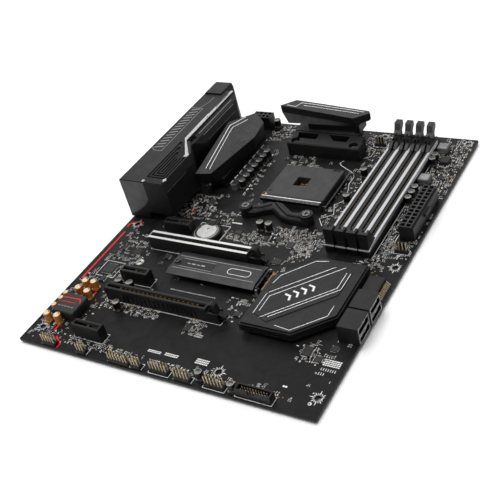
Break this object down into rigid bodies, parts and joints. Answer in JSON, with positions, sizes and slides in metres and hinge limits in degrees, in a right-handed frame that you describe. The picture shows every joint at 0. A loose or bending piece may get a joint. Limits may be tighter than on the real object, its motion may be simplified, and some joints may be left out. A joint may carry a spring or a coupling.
{
  "type": "computer motherboard",
  "caption": "Full-size computer mainboard with processor socket, memory and card slots, finned power-stage covers, rear port shroud and working latches.",
  "frame": {"origin": "centre of the standoff hole at the rear bottom corner, on the board's underside", "axes": "+X from the rear port edge towards the front edge, +Y from the bottom slot edge towards the top edge, +Z out of the component side"},
  "size_m": [0.2476, 0.3048, 0.0432],
  "materials": {
    "board": "black solder mask, satin",
    "solder": "dull tin solder",
    "plain_steel": "plated",
    "bright_steel": "nickel plated",
    "armour_steel": "satin nickel",
    "socket_plastic": "fine moulded",
    "black_plastic": "moulded",
    "slot_plastic": "moulded",
    "latch_plastic": "moulded",
    "gold": "gold plated",
    "shield_metal": "satin grey",
    "dark_screw": "black oxide",
    "thermal_pad": "soft silicone",
    "chip_epoxy": "moulded epoxy",
    "heatsink_metal": "fine textured black",
    "choke_grey": "pressed ferrite",
    "capacitor_can": "satin can",
    "gold_capacitor": "gold sleeve",
    "audio_shield": "satin black",
    "battery_steel": "polished",
    "tin": "tin plated",
    "cover_plastic": "satin dark grey",
    "silver_trim": "satin silver"
  },
  "bodies": {
    "board": {"pcb": "board", "solder_joints": "solder", "cpu_backplate": "plain_steel", "cpu_socket_base": "socket_plastic", "cpu_socket_contacts": "gold", "cpu_socket_cam_plate": "bright_steel", "cooler_bracket_bottom": "black_plastic", "cooler_bracket_top": "black_plastic", "bracket_screws": "bright_steel", "dimm_armour": "armour_steel", "pcie_x16_main_slot": "slot_plastic", "pcie_x16_main_armour": "armour_steel", "pcie_x16_second_slot": "slot_plastic", "pcie_x1_slots": "slot_plastic", "slot_contacts": "gold", "m2_socket": "slot_plastic", "m2_hinge_bracket": "plain_steel", "chipset": "chip_epoxy", "chipset_heatsink": "heatsink_metal", "rear_vrm_heatsink": "heatsink_metal", "top_vrm_heatsink": "heatsink_metal", "heatsink_screws": "bright_steel", "power_stage_chips": "chip_epoxy", "thermal_pads": "thermal_pad", "power_chokes": "choke_grey", "power_capacitors": "capacitor_can", "audio_capacitors": "gold_capacitor", "audio_chip_shield": "audio_shield", "controller_chips": "chip_epoxy", "battery_cell": "battery_steel", "battery_holder": "black_plastic", "main_power_socket": "black_plastic", "cpu_power_socket": "black_plastic", "power_socket_pins": "tin", "sata_ports": "black_plastic", "front_edge_socket": "black_plastic", "pin_header_bases": "black_plastic", "pin_header_pins": "gold", "rear_port_shells": "tin", "rear_port_tongues": "black_plastic", "video_and_keyboard_ports": "black_plastic", "audio_jack_block": "black_plastic", "rear_port_cover": "cover_plastic", "rear_cover_trim": "silver_trim", "dimm_slot_1": "slot_plastic", "dimm_slot_2": "slot_plastic", "dimm_slot_3": "slot_plastic", "dimm_slot_4": "slot_plastic"},
    "socket_lever": {"cpu_socket_lever": "bright_steel"},
    "socket_cover": {"cpu_socket_cover": "socket_plastic"},
    "memory_latch_1": {"dimm_latch_1": "latch_plastic"},
    "memory_latch_2": {"dimm_latch_2": "latch_plastic"},
    "memory_latch_3": {"dimm_latch_3": "latch_plastic"},
    "memory_latch_4": {"dimm_latch_4": "latch_plastic"},
    "card_latch_main": {"pcie_latch_main": "slot_plastic"},
    "card_latch_second": {"pcie_latch_second": "slot_plastic"},
    "drive_shield": {"m2_shield": "shield_metal", "m2_shield_screw": "dark_screw", "m2_thermal_pad": "thermal_pad"}
  },
  "joints": [
    {"name": "socket_lever_hinge", "type": "hinge", "parent": "board", "child": "socket_lever", "pos_m": [0.14734, 0.17584, 0.0042], "axis": [1, 0, 0], "range_deg": [0, 90]},
    {"name": "socket_cover_slide", "type": "slide", "parent": "board", "child": "socket_cover", "axis": [0, 1, 0], "range_m": [0, 0.0012]},
    {"name": "memory_latch_1_hinge", "type": "hinge", "parent": "board", "child": "memory_latch_1", "pos_m": [0.17484, 0.26449, 0.0056], "axis": [-1, 0, 0], "range_deg": [0, 30]},
    {"name": "memory_latch_2_hinge", "type": "hinge", "parent": "board", "child": "memory_latch_2", "pos_m": [0.18398, 0.26449, 0.0056], "axis": [-1, 0, 0], "range_deg": [0, 30]},
    {"name": "memory_latch_3_hinge", "type": "hinge", "parent": "board", "child": "memory_latch_3", "pos_m": [0.19312, 0.26449, 0.0056], "axis": [-1, 0, 0], "range_deg": [0, 30]},
    {"name": "memory_latch_4_hinge", "type": "hinge", "parent": "board", "child": "memory_latch_4", "pos_m": [0.20226, 0.26449, 0.0056], "axis": [-1, 0, 0], "range_deg": [0, 30]},
    {"name": "card_latch_main_hinge", "type": "hinge", "parent": "board", "child": "card_latch_main", "pos_m": [0.12844, 0.10429, 0.0056], "axis": [0, 1, 0], "range_deg": [0, 18]},
    {"name": "card_latch_second_hinge", "type": "hinge", "parent": "board", "child": "card_latch_second", "pos_m": [0.12844, 0.04339, 0.0056], "axis": [0, 1, 0], "range_deg": [0, 18]},
    {"name": "drive_shield_hinge", "type": "hinge", "parent": "board", "child": "drive_shield", "pos_m": [0.14364, 0.08469, 0.0052], "axis": [0, 1, 0], "range_deg": [0, 75]}
  ],
  "couplings": [
    {"joint": "socket_cover_slide", "follows": "socket_lever_hinge", "m_per_rad": 0.00076}
  ]
}
